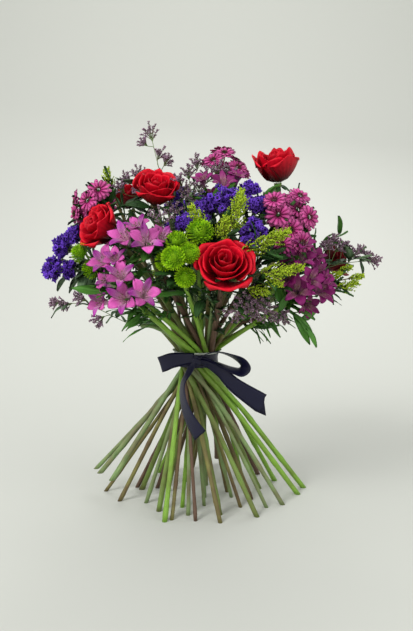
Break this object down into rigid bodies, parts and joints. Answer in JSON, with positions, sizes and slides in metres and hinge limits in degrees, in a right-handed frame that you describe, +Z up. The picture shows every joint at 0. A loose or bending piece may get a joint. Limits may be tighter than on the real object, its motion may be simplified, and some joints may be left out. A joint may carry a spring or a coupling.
{
  "type": "flower bouquet",
  "caption": "Hand-tied spiral bouquet of roses, alstroemeria, spray chrysanthemums, statice and goldenrod, standing on its splayed cut stems, bound with a satin ribbon bow.",
  "frame": {"origin": "centre of the bounding box at the level of the cut ends that the bouquet stands on", "axes": "+Z up along the bouquet from the cut ends to the flowers, -Y towards the front with the bow, +X to the right as seen from the front"},
  "size_m": [0.4018, 0.3252, 0.4742],
  "materials": {
    "rose_front": "matte",
    "rose_front_bloom": "matte",
    "rose_left": "matte",
    "rose_left_bloom": "matte",
    "rose_upper_left": "matte",
    "rose_upper_left_bloom": "matte",
    "rose_tucked": "matte",
    "rose_tucked_bloom": "matte",
    "rose_top_right": "matte",
    "rose_top_right_bloom": "matte",
    "rose_right": "matte",
    "rose_right_bloom": "matte",
    "rose_back": "matte",
    "rose_back_bloom": "matte",
    "pink_left": "matte",
    "pink_top": "matte",
    "pink_right": "matte",
    "pink_back_left": "matte",
    "pink_back_right": "matte",
    "statice_left": "matte",
    "statice_centre": "matte",
    "statice_right": "matte",
    "statice_back": "matte",
    "green_left": "matte",
    "green_centre": "matte",
    "green_ball": "matte",
    "solidago_centre": "matte",
    "solidago_mid_right": "matte",
    "solidago_low_right": "matte",
    "solidago_far_right": "matte",
    "solidago_tip_left": "matte",
    "solidago_back": "matte",
    "alstro_upper": "matte",
    "alstro_left": "matte",
    "alstro_low_left": "matte",
    "alstro_right": "matte",
    "alstro_low_right": "matte",
    "alstro_mid": "matte",
    "alstro_back_left": "matte",
    "alstro_back_right": "matte",
    "alstro_back": "matte",
    "limonium_top": "matte",
    "limonium_upper_left": "matte",
    "limonium_upper_mid": "matte",
    "limonium_right": "matte",
    "limonium_left": "matte",
    "limonium_low": "matte",
    "limonium_back": "matte",
    "foliage_low_right": "matte",
    "foliage_upper": "matte",
    "foliage_right": "matte",
    "foliage_back": "matte",
    "ribbon": "satin",
    "binding_tape": "matte"
  },
  "bodies": {
    "root": {"rose_front": "rose_front", "rose_front_bloom": "rose_front_bloom", "rose_left": "rose_left", "rose_left_bloom": "rose_left_bloom", "rose_upper_left": "rose_upper_left", "rose_upper_left_bloom": "rose_upper_left_bloom", "rose_tucked": "rose_tucked", "rose_tucked_bloom": "rose_tucked_bloom", "rose_top_right": "rose_top_right", "rose_top_right_bloom": "rose_top_right_bloom", "rose_right": "rose_right", "rose_right_bloom": "rose_right_bloom", "rose_back": "rose_back", "rose_back_bloom": "rose_back_bloom", "pink_left": "pink_left", "pink_top": "pink_top", "pink_right": "pink_right", "pink_back_left": "pink_back_left", "pink_back_right": "pink_back_right", "statice_left": "statice_left", "statice_centre": "statice_centre", "statice_right": "statice_right", "statice_back": "statice_back", "green_left": "green_left", "green_centre": "green_centre", "green_ball": "green_ball", "solidago_centre": "solidago_centre", "solidago_mid_right": "solidago_mid_right", "solidago_low_right": "solidago_low_right", "solidago_far_right": "solidago_far_right", "solidago_tip_left": "solidago_tip_left", "solidago_back": "solidago_back", "alstro_upper": "alstro_upper", "alstro_left": "alstro_left", "alstro_low_left": "alstro_low_left", "alstro_right": "alstro_right", "alstro_low_right": "alstro_low_right", "alstro_mid": "alstro_mid", "alstro_back_left": "alstro_back_left", "alstro_back_right": "alstro_back_right", "alstro_back": "alstro_back", "limonium_top": "limonium_top", "limonium_upper_left": "limonium_upper_left", "limonium_upper_mid": "limonium_upper_mid", "limonium_right": "limonium_right", "limonium_left": "limonium_left", "limonium_low": "limonium_low", "limonium_back": "limonium_back", "foliage_low_right": "foliage_low_right", "foliage_upper": "foliage_upper", "foliage_right": "foliage_right", "foliage_back": "foliage_back", "ribbon": "ribbon", "binding_tape": "binding_tape"}
  },
  "joints": []
}
